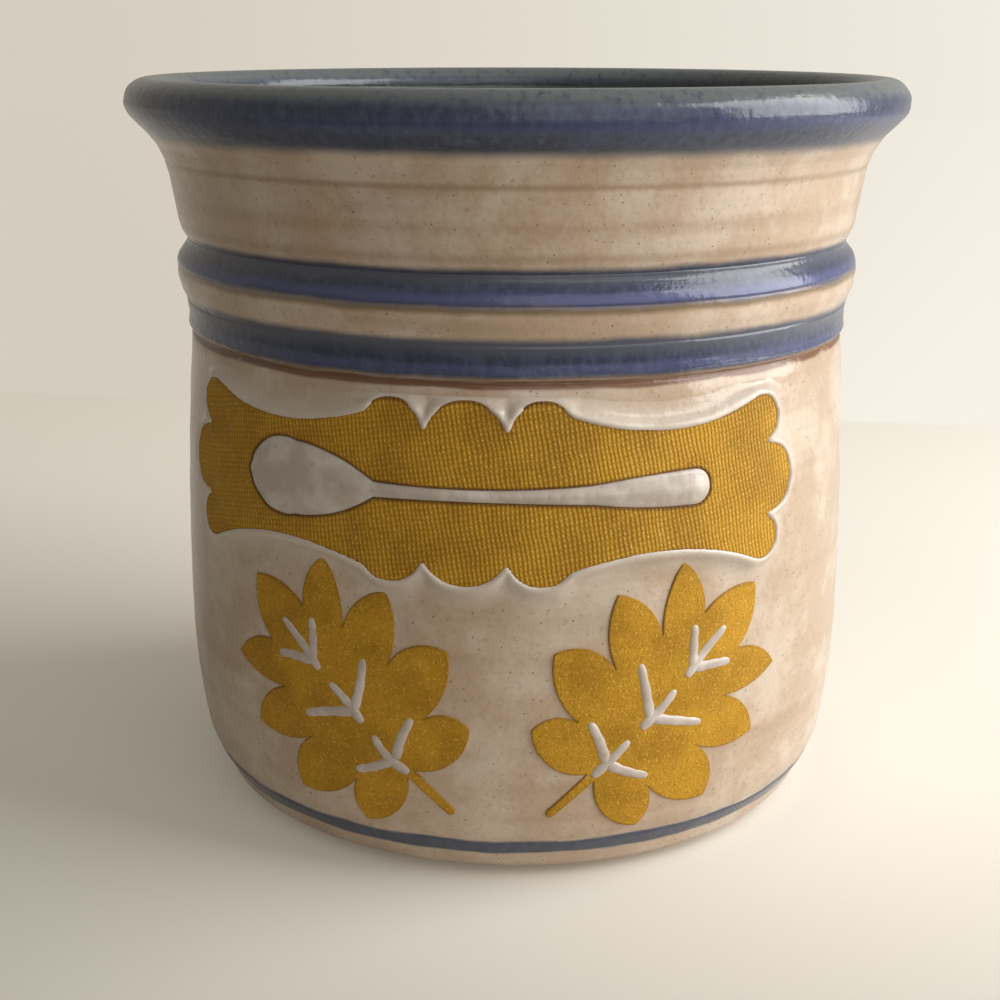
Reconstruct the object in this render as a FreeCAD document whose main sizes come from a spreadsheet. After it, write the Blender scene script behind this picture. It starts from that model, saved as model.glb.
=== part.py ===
import FreeCAD
import Part
import Sketcher
import math
import os

# Utensil crock: a thrown stoneware pot in its cream glaze, with brushed blue bands, a scalloped plate and two leaves.
# Lengths are in millimetres and angles in degrees. The table is z = 0, z is up, the plate faces -Y.

SIZES = {
    # foot ring, left bare
    "foot_inset": 12.4,
    "foot_width": 8.0,
    "foot_chamfer": 0.8,
    "foot_recess": 2.4,
    "foot_draft": 1.2,
    # bevels under the wall
    "base_inset": 3.6,
    "base_height": 9.6,
    "foot_rise": 2.5,
    "skirt_inset": 6.9,
    # thrown wall
    "wall_foot_height": 12.0,
    "belly_radius": 71.4,
    "belly_height": 38.0,
    "belly_lower_radius": 150.0,
    "belly_upper_radius": 700.0,
    "ledge_clearance": 2.3,
    # tool line under the ledge
    "tool_angle": -45.0,
    "tool_run": 0.9,
    "ledge_angle": 48.0,
    "ledge_run": 1.4,
    # band, bead and neck groove
    "band_angle": -6.0,
    "band_run": 4.1,
    "bead_angle": 23.0,
    "bead_run": 6.0,
    "crest_angle": 0.0,
    "crest_run": 4.2,
    "groove_angle": -38.0,
    "groove_run": 4.5,
    # collar, flare and rolled lip
    "collar_foot_angle": 33.0,
    "collar_foot_run": 3.5,
    "collar_angle": 8.5,
    "collar_run": 13.2,
    "flare_low_angle": 26.0,
    "flare_low_run": 4.6,
    "flare_angle": 43.0,
    "flare_run": 7.3,
    "lip_round": 4.4,
    # inside of the pot
    "wall_thickness": 7.4,
    "floor_height": 9.0,
    "floor_bevel": 12.0,
    "mouth_clearance": 5.0,
    # brushed blue bands
    "blue_thickness": 0.3,
    "rim_band_run": 3.4,
    "upper_band_drop": 1.4,
    "upper_band_gap": 0.6,
    "lower_band_run": 2.9,
    "base_line_run": 3.5,
    # name plate and its spoon
    "plate_length": 134.6,
    "plate_height": 34.0,
    "plate_center_height": 79.3,
    "plate_thickness": 1.8,
    "inlay_depth": 0.7,
    "inlay_thickness": 0.5,
    "spoon_length": 92.0,
    "spoon_width": 14.0,
    # slip leaves
    "slip_thickness": 0.3,
    "slip_seat_clearance": 0.03,
    "leaf_foot_clearance": 0.1,
    "leaf_top_clearance": 2.7,
    "leaf_tilt_angle": 44.0,
    "leaf_pair_gap": 18.0,
    "leaf_pair_shift": 6.5,
}

# The outer outline above the wall, upward: an angle from the vertical and a straight run at that angle.
OUTER_STEPS = (
    ("tool_angle", "tool_run"),
    ("ledge_angle", "ledge_run"),
    ("band_angle", "band_run"),
    ("bead_angle", "bead_run"),
    ("crest_angle", "crest_run"),
    ("groove_angle", "groove_run"),
    ("collar_foot_angle", "collar_foot_run"),
    ("collar_angle", "collar_run"),
    ("flare_low_angle", "flare_low_run"),
    ("flare_angle", "flare_run"),
)

# Right half of the plate's edge from its bottom middle to its top middle: an arc's end and through point in turn,
# as shares of half the length and half the height.
PLATE_HALF_SHARES = (
    (0.000, -1.000), (0.062, -0.945), (0.112, -0.760),
    (0.180, -0.985), (0.285, -0.850), (0.540, -0.680),
    (0.850, -0.960), (0.935, -0.790), (0.900, -0.470),
    (1.000, -0.060), (0.900, 0.360), (0.940, 0.700),
    (0.860, 0.900), (0.540, 0.665), (0.285, 0.850),
    (0.180, 0.985), (0.112, 0.700), (0.062, 0.940),
    (0.000, 1.000),
)

# Upper half of the spoon from its bowl's end to its handle's end, as shares of half its length and half its width.
SPOON_HALF_SHARES = (
    (-1.000, 0.000), (-0.930, 0.740), (-0.740, 1.000),
    (-0.520, 0.720), (-0.370, 0.210), (0.100, 0.170),
    (0.500, 0.260), (0.760, 0.440), (0.930, 0.480),
    (0.985, 0.300), (1.000, 0.000),
)

# One side of the leaf from its stem to its tip: lobe points and the slits between them as arc ends, each with the
# through point of the next arc, as shares of half its width and of its length.
LEAF_SIDE_SHARES = (
    (0.045, 0.050), (0.320, -0.020), (0.660, 0.030), (0.630, 0.106),
    (0.440, 0.170), (0.730, 0.190), (1.000, 0.290), (0.880, 0.372),
    (0.540, 0.402), (0.790, 0.470), (0.980, 0.600), (0.780, 0.640),
    (0.440, 0.608), (0.620, 0.706), (0.740, 0.850), (0.530, 0.850),
    (0.260, 0.775), (0.200, 0.900), (0.000, 1.000),
)
# The leaf's half width, its stem's length and half width, as shares of its length.
LEAF_HALF_WIDTH_SHARE = 0.453
STEM_LENGTH_SHARE = 0.170
STEM_HALF_WIDTH_SHARE = 0.017
# How far the plate's waist lies under its middle above the leaves, as a share of half its height.
PLATE_WAIST_SHARE = 0.68

UPRIGHT = 90.0
# The lip's roll is drawn in this many equal facets, from the flare to the level crest, to keep its mesh light.
LIP_FACETS = 5
SAMPLES_PER_EDGE = 7
PATCH_GRID = 8
# A patch's carrying surface reaches this share of the patch's size beyond its outline.
PATCH_MARGIN_SHARE = 0.04

document = FreeCAD.newDocument("utensil_crock")
sheet = document.addObject("Spreadsheet::Sheet", "Sizes")
for row, (alias, number) in enumerate(SIZES.items(), start=1):
    sheet.set("A%d" % row, alias)
    sheet.set("B%d" % row, str(number))
    sheet.setAlias("B%d" % row, alias)
document.recompute()


class Size:
    """A number and the expression that gives it, so that a sketch is drawn and bound in one step."""

    def __init__(self, value, text):
        self.value = value
        self.text = text

    def __add__(self, other):
        return Size(self.value + other.value, "(%s + %s)" % (self.text, other.text))

    def __sub__(self, other):
        return Size(self.value - other.value, "(%s - %s)" % (self.text, other.text))


def size(alias):
    """The named size from the sheet."""
    return Size(float(sheet.get(alias)), "Sizes." + alias)


def scaled_size(wanted, factor):
    """A size times a plain number."""
    return Size(wanted.value * factor, "(%s * %s)" % (wanted.text, factor))


def wall_height():
    """The wall's top, a clearance above the plate."""
    return size("plate_center_height") + scaled_size(size("plate_height"), 0.5) + size("ledge_clearance")


def measured(sketch, name):
    """A size read from a named reference dimension of a sketch."""
    return Size(sketch.getDatum(name).Value, "(%s.Constraints.%s / 1 mm)" % (sketch.Name, name))


def lean(angle):
    """Heading of a line that leans outward from the vertical by the given angle."""
    return Size(UPRIGHT, "90") - angle


def lip_turn():
    """The angle between one facet of the lip and the next."""
    whole = Size(UPRIGHT, "90") + size("flare_angle")
    return Size(whole.value / LIP_FACETS, "(%s / %d)" % (whole.text, LIP_FACETS))


def facet_run():
    """Length of a facet that touches the lip's round."""
    half_turn = math.radians(lip_turn().value / 2)
    text = "(2 * %s * tan(%s * 0.5 deg))" % (size("lip_round").text, lip_turn().text)
    return Size(2 * size("lip_round").value * math.tan(half_turn), text)


def lip_steps():
    """Headings and runs of the lip's facets from the flare up to the crest."""
    heading = lean(size("flare_angle"))
    steps = []
    for _ in range(LIP_FACETS):
        heading = heading + lip_turn()
        steps.append((heading, facet_run()))
    return steps


def toward(heading):
    """Unit vector at a heading in degrees."""
    return FreeCAD.Vector(math.cos(math.radians(heading)), math.sin(math.radians(heading)), 0)


class Outline:
    """A chain of arcs and lines in a sketch on the upright plane, with every size bound to the sheet."""

    def __init__(self, body, name):
        self.sketch = body.newObject("Sketcher::SketchObject", name)
        planes = [item for item in body.Origin.OriginFeatures if item.Role == "XZ_Plane"]
        self.sketch.AttachmentSupport = [(planes[0], "")]
        self.sketch.MapMode = "FlatFace"
        self.begin(FreeCAD.Vector(0, 0, 0))

    def begin(self, point, last=None):
        """Start a new chain at a point, joined to an earlier end if asked."""
        self.at = point
        self.last = last

    def bind(self, kind, places, wanted):
        """Add a dimension and bind it; an angle's number is in degrees."""
        angular = kind == "Angle"
        value = math.radians(wanted.value) if angular else wanted.value
        text = "%s * 1 deg" % wanted.text if angular else wanted.text
        index = self.sketch.addConstraint(Sketcher.Constraint(kind, *places, value))
        name = "size_%d" % index
        self.sketch.renameConstraint(index, name)
        self.sketch.setExpression("Constraints." + name, text)

    def bind_point(self, place, x, y):
        """Bind a point's distance from the axis and its height."""
        self.bind("DistanceX", (-1, 1, *place), x)
        self.bind("DistanceY", (-1, 1, *place), y)

    def hold(self, kind, *places):
        """Add a constraint without a number."""
        self.sketch.addConstraint(Sketcher.Constraint(kind, *places))

    def measure(self, name, place):
        """Add named reference dimensions for a point, for other expressions to read."""
        point = self.sketch.getPoint(*place)
        for kind, ending, value in (("DistanceX", "_x", point.x), ("DistanceY", "_z", point.y)):
            index = self.sketch.addConstraint(Sketcher.Constraint(kind, -1, 1, *place, value))
            self.sketch.setDriving(index, False)
            self.sketch.renameConstraint(index, name + ending)

    def center_arc(self, center, radius, start, end):
        """Draw an arc between two angles about a centre and step to its far end."""
        circle = Part.Circle(center, FreeCAD.Vector(0, 0, 1), radius.value)
        arc = Part.ArcOfCircle(circle, math.radians(start), math.radians(end))
        index = self.sketch.addGeometry(arc, False)
        self.bind("Radius", (index,), radius)
        self.begin(arc.EndPoint, (index, 2))
        return index

    def segment(self, end):
        """Draw a line from the chain's end to a point."""
        index = self.sketch.addGeometry(Part.LineSegment(self.at, end), False)
        if self.last:
            self.hold("Coincident", *self.last, index, 1)
        self.begin(end, (index, 2))
        return index

    def line(self, heading, length):
        """Draw a line at a heading with a length, both bound."""
        index = self.segment(self.at + toward(heading.value) * length.value)
        self.bind("Angle", (index,), heading)
        self.bind("Distance", (index,), length)
        return index

    def to_point(self, x, y):
        """Draw a line to a bound point."""
        index = self.segment(FreeCAD.Vector(x.value, y.value, 0))
        self.bind_point((index, 2), x, y)
        return index

    def straight(self, x, y, kind):
        """Draw a level or upright line to a point that other constraints place."""
        index = self.segment(FreeCAD.Vector(x, y, 0))
        self.hold(kind, index)
        return index

    def close(self, first):
        """Draw a line from the chain's end to an earlier point."""
        index = self.segment(self.sketch.getPoint(*first))
        self.hold("Coincident", index, 2, *first)
        return index


def turn(body, outline, kind="PartDesign::Revolution"):
    """Revolve an outline about the pot's axis, as added or as taken-away material."""
    feature = body.newObject(kind, outline.sketch.Name + "_turned")
    feature.Profile = outline.sketch
    feature.ReferenceAxis = (outline.sketch, ["V_Axis"])
    feature.Angle = 360
    outline.sketch.Visibility = False
    document.recompute()


# Pot

def wall_centers():
    """Centres of the wall's lower and upper arcs, level with its widest place."""
    height = size("belly_height").value
    return [
        FreeCAD.Vector((size("belly_radius") - size(radius)).value, height, 0)
        for radius in ("belly_lower_radius", "belly_upper_radius")
    ]


def draw_wall(outline):
    """Draw the wall's two arcs from its foot to its top; return the lower one."""
    low_center, high_center = wall_centers()
    drop = size("wall_foot_height") - size("belly_height")
    rise = wall_height() - size("belly_height")
    start = math.degrees(math.asin(drop.value / size("belly_lower_radius").value))
    end = math.degrees(math.asin(rise.value / size("belly_upper_radius").value))
    lower = outline.center_arc(low_center, size("belly_lower_radius"), start, 0)
    outline.bind("DistanceX", (lower, 3, -1, 1), size("belly_lower_radius") - size("belly_radius"))
    outline.bind("DistanceY", (-1, 1, lower, 3), size("belly_height"))
    outline.bind("DistanceY", (-1, 1, lower, 1), size("wall_foot_height"))
    outline.hold("Horizontal", lower, 3, lower, 2)
    upper = outline.center_arc(high_center, size("belly_upper_radius"), 0, end)
    outline.hold("Coincident", lower, 2, upper, 1)
    outline.hold("Horizontal", upper, 3, lower, 3)
    outline.bind("DistanceY", (-1, 1, upper, 2), wall_height())
    return lower


def draw_outside(body):
    """The pot's outside, from the wall up to the lip's crest, back down the axis and round the foot."""
    outline = Outline(body, "pot_outside")
    wall = draw_wall(outline)
    for angle, run in OUTER_STEPS:
        index = outline.line(lean(size(angle)), size(run))
        outline.measure(run, (index, 2))
    for heading, run in lip_steps()[:-1]:
        index = outline.line(heading, run)
    outline.measure("crest", (index, 2))
    outline.straight(0, outline.at.y, "Horizontal")
    outline.hold("PointOnObject", *outline.last, -2)
    draw_foot(outline)
    outline.close((wall, 1))
    return outline


def base_corner():
    """Where the two bevels under the wall meet."""
    return size("belly_radius") - size("base_inset"), size("base_height")


def base_heading():
    """Heading of the lower bevel, from the skirt above the foot ring up to the corner."""
    rise = size("base_height") - size("foot_rise")
    reach = size("skirt_inset") - size("base_inset")
    text = "(atan2(%s; %s) / 1 deg)" % (rise.text, reach.text)
    return Size(math.degrees(math.atan2(rise.value, reach.value)), text)


def draw_foot(outline):
    """The axis, the recess under the floor, the foot ring, the skirt over it and the bevel above."""
    foot_radius = size("belly_radius") - size("foot_inset")
    ring_inside = foot_radius - size("foot_width")
    ground = Size(0.0, "0")
    axis = outline.straight(0, size("foot_recess").value, "Vertical")
    outline.bind("DistanceY", (-1, 1, axis, 2), size("foot_recess"))
    ceiling = outline.straight((ring_inside - size("foot_draft")).value, outline.at.y, "Horizontal")
    outline.bind("DistanceX", (-1, 1, ceiling, 2), ring_inside - size("foot_draft"))
    outline.to_point(ring_inside, ground)
    sole = outline.straight((foot_radius - size("foot_chamfer")).value, 0, "Horizontal")
    outline.bind("DistanceX", (-1, 1, sole, 2), foot_radius - size("foot_chamfer"))
    outline.to_point(foot_radius, size("foot_chamfer"))
    outline.to_point(size("belly_radius") - size("skirt_inset"), size("foot_rise"))
    outline.to_point(*base_corner())


def anchored(outside, name):
    """Where the pot's outside has one of its measured points."""
    return measured(outside.sketch, name + "_x"), measured(outside.sketch, name + "_z")


def draw_inside(body, outside):
    """The room inside the pot, from the lip's crest down to the floor and back up the axis, open above."""
    outline = Outline(body, "pot_inside")
    crest_x, crest_z = anchored(outside, "crest")
    crest_x = crest_x - facet_run()
    outline.begin(FreeCAD.Vector(crest_x.value, crest_z.value, 0))
    first = outline.line(lip_steps()[-1][0] + lip_turn(), facet_run())
    outline.bind_point((first, 1), crest_x, crest_z)
    wall_radius = size("belly_radius") - size("wall_thickness")
    outline.to_point(wall_radius, anchored(outside, "groove_run")[1])
    outline.to_point(wall_radius, size("floor_height") + size("floor_bevel"))
    outline.to_point(wall_radius - size("floor_bevel"), size("floor_height"))
    outline.straight(0, outline.at.y, "Horizontal")
    outline.hold("PointOnObject", *outline.last, -2)
    top = crest_z + size("mouth_clearance")
    outline.straight(0, top.value, "Vertical")
    lid = outline.straight(crest_x.value, top.value, "Horizontal")
    outline.bind("DistanceY", (-1, 1, lid, 2), top)
    outline.hold("Vertical", outline.close((first, 1)))
    return outline


pot = document.addObject("PartDesign::Body", "stoneware_pot")
pot_outside = draw_outside(pot)
turn(pot, pot_outside)
turn(pot, draw_inside(pot, pot_outside), "PartDesign::Groove")


# Blue bands, each a coat over a stretch of the pot's outside

def offset_corners(points, headings, coat):
    """Corners of a chain of lines moved outward by a coat."""
    first, last = headings[0].value, headings[-1].value
    arriving = [first] + [heading.value for heading in headings]
    leaving = [heading.value for heading in headings] + [last]
    moved = []
    for point, before, after in zip(points, arriving, leaving):
        reach = coat / math.cos(math.radians(after - before) / 2)
        moved.append(point + toward((before + after) / 2 - UPRIGHT) * reach)
    return moved


def band(name, anchor, steps):
    """A ring on the pot: straight runs at the pot's face, the first ending at an anchor, and a coat above them."""
    body = document.addObject("PartDesign::Body", name)
    outline = Outline(body, name + "_outline")
    coat = size("blue_thickness")
    headings = [heading for heading, run in steps]
    end = FreeCAD.Vector(anchor[0].value, anchor[1].value, 0)
    corners = [end - toward(headings[0].value) * steps[0][1].value]
    outline.begin(corners[0])
    inner = []
    for heading, run in steps:
        inner.append(outline.line(heading, run))
        corners.append(outline.at)
    outline.bind_point((inner[0], 2), *anchor)
    moved = offset_corners(corners, headings, coat.value)
    end_cap = outline.segment(moved[-1])
    outline.hold("Perpendicular", end_cap, inner[-1])
    for under, corner in zip(reversed(inner), reversed(moved[:-1])):
        over = outline.segment(corner)
        outline.hold("Parallel", over, under)
        outline.bind("Distance", (over, 1, under), coat)
    outline.hold("Perpendicular", outline.close((inner[0], 1)), inner[0])
    turn(body, outline)
    return body


def run_at(angle, run):
    """A straight run of a band."""
    return lean(size(angle)), size(run)


upper_band_run = size("groove_run") - size("upper_band_gap")
bands = [
    band("rim_blue_band", anchored(pot_outside, "flare_run"), [run_at("flare_angle", "rim_band_run")] + lip_steps()),
    band("upper_blue_band", anchored(pot_outside, "crest_run"),
         [run_at("crest_angle", "upper_band_drop"), (lean(size("groove_angle")), upper_band_run)]),
    band("lower_blue_band", anchored(pot_outside, "band_run"),
         [run_at("band_angle", "band_run"), run_at("bead_angle", "lower_band_run")]),
    band("base_blue_line", base_corner(), [(base_heading(), size("base_line_run"))]),
]


# Flat outlines of the plate, spoon and leaf, in millimetres along the wall and up it

def arcs_through(points):
    """Edges through points that are an arc's end and its middle in turn."""
    return [Part.Arc(*points[at:at + 3]).toShape() for at in range(0, len(points) - 2, 2)]


def scaled(shares, across, up):
    """Flat points from shares of two sizes."""
    return [FreeCAD.Vector(first * across, second * up, 0) for first, second in shares]


def mirrored(points, across=True):
    """Points mirrored left to right, or top to bottom, and read the other way round."""
    sign = FreeCAD.Vector(-1, 1, 0) if across else FreeCAD.Vector(1, -1, 0)
    return [FreeCAD.Vector(point.x * sign.x, point.y * sign.y, 0) for point in reversed(points)]


def plate_edges():
    """The plate's scalloped edge about its centre."""
    half = scaled(PLATE_HALF_SHARES, size("plate_length").value / 2, size("plate_height").value / 2)
    return arcs_through(half + mirrored(half)[1:])


def spoon_edges():
    """The spoon's outline about its centre."""
    half = scaled(SPOON_HALF_SHARES, size("spoon_length").value / 2, size("spoon_width").value / 2)
    return arcs_through(half + mirrored(half, across=False)[1:])


def leaf_edges(length):
    """A lobed leaf with its tip up and its stem's joint at the origin."""
    side = scaled(LEAF_SIDE_SHARES, LEAF_HALF_WIDTH_SHARE * length, length)
    other_side = mirrored(side)
    half_stem = STEM_HALF_WIDTH_SHARE * length
    foot = half_stem - STEM_LENGTH_SHARE * length
    left = FreeCAD.Vector(-half_stem, foot, 0)
    right = FreeCAD.Vector(half_stem, foot, 0)
    end = FreeCAD.Vector(0, foot - half_stem, 0)
    return arcs_through(side + other_side[1:]) + [
        Part.LineSegment(other_side[-1], left).toShape(),
        Part.Arc(left, end, right).toShape(),
        Part.LineSegment(right, side[0]).toShape(),
    ]


def leaf_outline(side):
    """The right (1) or left (-1) leaf on the unrolled wall, as large as the room under the plate lets it be."""
    tilt = FreeCAD.Rotation(FreeCAD.Vector(0, 0, 1), -side * (UPRIGHT - size("leaf_tilt_angle").value))
    bottom = size("wall_foot_height") + size("leaf_foot_clearance")
    waist = scaled_size(size("plate_height"), PLATE_WAIST_SHARE / 2)
    top = size("plate_center_height") - waist - size("leaf_top_clearance")
    unit_leaf = placed(leaf_edges(1), FreeCAD.Placement(FreeCAD.Vector(), tilt))
    unit_box = Part.makeCompound(unit_leaf).optimalBoundingBox()
    length = (top - bottom).value / unit_box.YLength
    stem_end = tilt.multVec(FreeCAD.Vector(0, -STEM_LENGTH_SHARE * length, 0))
    across = size("leaf_pair_shift").value + side * size("leaf_pair_gap").value / 2
    joint = FreeCAD.Vector(across - stem_end.x, bottom.value - unit_box.YMin * length, 0)
    return placed(leaf_edges(length), FreeCAD.Placement(joint, tilt))


def placed(edges, placement):
    """Copies of flat edges moved to their place."""
    return [edge.transformed(placement.toMatrix()) for edge in edges]


# Patches: flat outlines bent round the wall and given a thickness

def wall_position(flat, coat):
    """The point on the wall, or a coat above it, for a point on the unrolled wall."""
    low, high = wall_centers()
    above = flat.y > size("belly_height").value
    center = high if above else low
    radius = size("belly_upper_radius" if above else "belly_lower_radius").value
    up = (flat.y - center.y) / radius
    distance = center.x + (radius + coat) * math.sqrt(1 - up ** 2)
    angle = flat.x / size("belly_radius").value
    return FreeCAD.Vector(distance * math.sin(angle), -distance * math.cos(angle), center.y + (radius + coat) * up)


def patch_surface(edges, coat):
    """A smooth surface through the wall's points around a flat outline."""
    box = Part.makeCompound(edges).BoundBox
    box.enlarge(box.DiagonalLength * PATCH_MARGIN_SHARE)
    steps = [step / (PATCH_GRID - 1) for step in range(PATCH_GRID)]
    grid = []
    for across in steps:
        column = [FreeCAD.Vector(box.XMin + across * box.XLength, box.YMin + up * box.YLength, 0) for up in steps]
        grid.append([wall_position(flat, coat) for flat in column])
    surface = Part.BSplineSurface()
    surface.interpolate(grid)
    return surface


def edges_on(surface, edges, coat):
    """Flat edges laid on a patch surface."""
    laid = []
    for edge in edges:
        flats = edge.discretize(SAMPLES_PER_EDGE)
        places = [surface.parameter(wall_position(flat, coat)) for flat in flats]
        curve = Part.Geom2d.BSplineCurve2d()
        curve.interpolate([FreeCAD.Base.Vector2d(*place) for place in places])
        laid.append(curve.toShape(surface))
    return laid


def face_on(surface, edges, holes=None):
    """The stretch of a surface inside laid edges, with a hole if asked."""
    face = Part.Face(surface, Part.Wire(edges))
    face.validate()
    if holes:
        face.cutHoles([Part.Wire(holes)])
        face.validate()
    return face


def side_faces(lower, upper):
    """The ruled faces between two rows of laid edges."""
    return [Part.makeRuledSurface(first, second) for first, second in zip(lower, upper)]


def closed_solid(faces):
    """A solid from faces that meet along their edges, with its skin outward."""
    shell = Part.Shell(faces)
    shell.sewShape()
    solid = Part.Solid(shell)
    if solid.Volume < 0:
        solid.reverse()
    return solid


def patch(edges, start, end, pocket_edges=None, pocket_floor=None):
    """A patch between two coat thicknesses, with a pocket sunk into it if asked."""
    below, above = patch_surface(edges, start), patch_surface(edges, end)
    lower, upper = edges_on(below, edges, start), edges_on(above, edges, end)
    faces = [face_on(below, lower)] + side_faces(lower, upper)
    if pocket_edges:
        floor_surface = patch_surface(pocket_edges, pocket_floor)
        floor_edges = edges_on(floor_surface, pocket_edges, pocket_floor)
        rim_edges = edges_on(above, pocket_edges, end)
        faces.append(face_on(above, upper, rim_edges))
        faces.append(face_on(floor_surface, floor_edges))
        faces.extend(side_faces(floor_edges, rim_edges))
    else:
        faces.append(face_on(above, upper))
    return closed_solid(faces)


def patch_feature(name, shape):
    """A feature that holds a patch."""
    feature = document.addObject("Part::Feature", name)
    feature.Shape = shape
    feature.Placement = FreeCAD.Placement()
    return feature


plate_center = FreeCAD.Placement(FreeCAD.Vector(0, size("plate_center_height").value, 0), FreeCAD.Rotation())
plate_outline = placed(plate_edges(), plate_center)
spoon_outline = placed(spoon_edges(), plate_center)
plate_face = size("plate_thickness").value
pocket_floor = plate_face - size("inlay_depth").value
inlay_face = pocket_floor + size("inlay_thickness").value
slip_seat = size("slip_seat_clearance").value
slip_face = slip_seat + size("slip_thickness").value
patches = [
    patch_feature("name_plate", patch(plate_outline, 0, plate_face, spoon_outline, pocket_floor)),
    patch_feature("spoon_inlay", patch(spoon_outline, pocket_floor, inlay_face)),
]
for side, word in ((-1, "left"), (1, "right")):
    patches.append(patch_feature(word + "_leaf", patch(leaf_outline(side), slip_seat, slip_face)))
document.recompute()


# Checks before the files are written

exports = [pot] + bands + patches
for item in document.Objects:
    if "Invalid" in item.State or "Error" in item.State:
        raise RuntimeError("%s did not build: %s" % (item.Name, item.State))
    if item.TypeId == "Sketcher::SketchObject" and not item.FullyConstrained:
        raise RuntimeError("%s is not fully constrained" % item.Name)
for item in exports:
    if item.Shape.isNull() or not item.Shape.isValid() or not item.Shape.Solids:
        raise RuntimeError("%s has no valid solid" % item.Name)

os.makedirs("parts", exist_ok=True)
for item in exports:
    item.Shape.exportStep("parts/%s.step" % item.Label)
    box = item.Shape.BoundBox
    print("%-16s solids %d volume %.1f height %.2f to %.2f" % (
        item.Label, len(item.Shape.Solids), item.Shape.Volume, box.ZMin, box.ZMax))
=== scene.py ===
"""The look of a hand-thrown utensil crock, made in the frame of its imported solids.

Every length is in metres. The table is z = 0, the crock's axis is the z axis and its plate faces -Y.
"""

import logging
import math
from dataclasses import dataclass, field
from enum import Enum
from functools import reduce
from typing import Callable, Iterable, NamedTuple, Optional, Sequence, Union

import bmesh
import bpy
from bmesh.types import BMesh, BMFace, BMVert
from mathutils import Color as ScreenColor, Matrix, Quaternion, Vector, kdtree, noise


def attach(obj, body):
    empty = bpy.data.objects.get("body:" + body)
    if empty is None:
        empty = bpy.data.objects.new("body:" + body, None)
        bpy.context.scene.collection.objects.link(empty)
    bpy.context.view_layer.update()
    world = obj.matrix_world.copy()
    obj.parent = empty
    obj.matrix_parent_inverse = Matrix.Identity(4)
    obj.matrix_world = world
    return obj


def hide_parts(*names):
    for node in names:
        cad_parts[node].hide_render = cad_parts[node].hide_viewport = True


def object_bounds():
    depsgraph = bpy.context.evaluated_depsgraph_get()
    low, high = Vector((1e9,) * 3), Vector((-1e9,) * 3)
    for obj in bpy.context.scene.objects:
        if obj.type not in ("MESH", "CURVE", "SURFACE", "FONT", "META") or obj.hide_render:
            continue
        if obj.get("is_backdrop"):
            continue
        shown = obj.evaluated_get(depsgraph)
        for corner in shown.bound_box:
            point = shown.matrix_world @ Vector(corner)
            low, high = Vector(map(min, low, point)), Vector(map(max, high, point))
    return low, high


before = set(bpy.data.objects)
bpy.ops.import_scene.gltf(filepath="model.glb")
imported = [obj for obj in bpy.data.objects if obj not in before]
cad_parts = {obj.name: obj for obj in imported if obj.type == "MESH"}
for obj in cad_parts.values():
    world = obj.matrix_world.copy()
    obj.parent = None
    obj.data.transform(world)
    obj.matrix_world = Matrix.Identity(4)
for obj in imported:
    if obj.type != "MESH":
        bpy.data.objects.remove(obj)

MM = 0.001
WELD = 1e-6
FULL_TURN = 2 * math.pi
UP = Vector((0, 0, 1))
SCREEN_WHITE = 255
SHARP_ANGLE = math.radians(75)
MIRRORED_SHARE = 0.5
SAME_PLACE_DIGITS = 6

Color = tuple[float, float, float, float]
Triple = tuple[float, float, float]

log = logging.getLogger("crock")


def tone(red: int, green: int, blue: int) -> Color:
    """A colour as the eye reads it off a screen, turned into the light that a shader works with.

    Args:
        red: Red from 0 to 255.
        green: Green from 0 to 255.
        blue: Blue from 0 to 255.

    Returns:
        The linear colour, opaque.
    """
    shares = [part / SCREEN_WHITE for part in (red, green, blue)]
    return (*ScreenColor(shares).from_srgb_to_scene_linear(), 1.0)


def evenly(start: float, stop: float, count: int) -> list[float]:
    """Evenly spaced numbers from a start to a stop, with both of them."""
    return [start + (stop - start) * number / (count - 1) for number in range(count)]


# Shader maths

class Field:
    """A shader socket that Python arithmetic turns into Math nodes."""

    def __init__(self, shader: "Shader", socket: bpy.types.NodeSocket) -> None:
        """Keeps the socket and the shader that it is in."""
        self.shader = shader
        self.socket = socket

    def __add__(self, other: "Value") -> "Field":
        """Sum."""
        return self.shader.math("ADD", self, other)

    def __sub__(self, other: "Value") -> "Field":
        """Difference."""
        return self.shader.math("SUBTRACT", self, other)

    def __rsub__(self, other: "Value") -> "Field":
        """Difference, with the field taken away."""
        return self.shader.math("SUBTRACT", other, self)

    def __mul__(self, other: "Value") -> "Field":
        """Product."""
        return self.shader.math("MULTIPLY", self, other)

    def __truediv__(self, other: "Value") -> "Field":
        """Quotient."""
        return self.shader.math("DIVIDE", self, other)

    def __abs__(self) -> "Field":
        """Distance from zero."""
        return self.shader.math("ABSOLUTE", self)

    def __pow__(self, other: "Value") -> "Field":
        """Power."""
        return self.shader.math("POWER", self, other)

    __radd__ = __add__
    __rmul__ = __mul__

    def sine(self) -> "Field":
        """Sine of an angle in radians."""
        return self.shader.math("SINE", self)

    def at_least(self, other: "Value") -> "Field":
        """The larger of two values."""
        return self.shader.math("MAXIMUM", self, other)

    def rise(self, low: "Value", high: "Value") -> "Field":
        """Climbs smoothly from 0 at the low value to 1 at the high one."""
        inputs = {"Value": self, "From Min": low, "From Max": high}
        return self.shader.field("ShaderNodeMapRange", {"interpolation_type": "SMOOTHSTEP"}, inputs)

    def fall(self, low: "Value", high: "Value") -> "Field":
        """Drops smoothly from 1 at the low value to 0 at the high one."""
        return 1 - self.rise(low, high)

    def line(self, place: float, half_width: float) -> "Field":
        """A soft line that is 1 at one value and 0 beyond half its width."""
        return abs(self - place).fall(0, half_width)


Value = Union[Field, float, Color, Triple]


class Grain(NamedTuple):
    """Cloudy noise: the size of its clouds, its finer layers and their strength, and its squeeze by axis."""

    size: float
    detail: float = 2.0
    roughness: float = 0.5
    squeeze: Optional[Triple] = None


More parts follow.
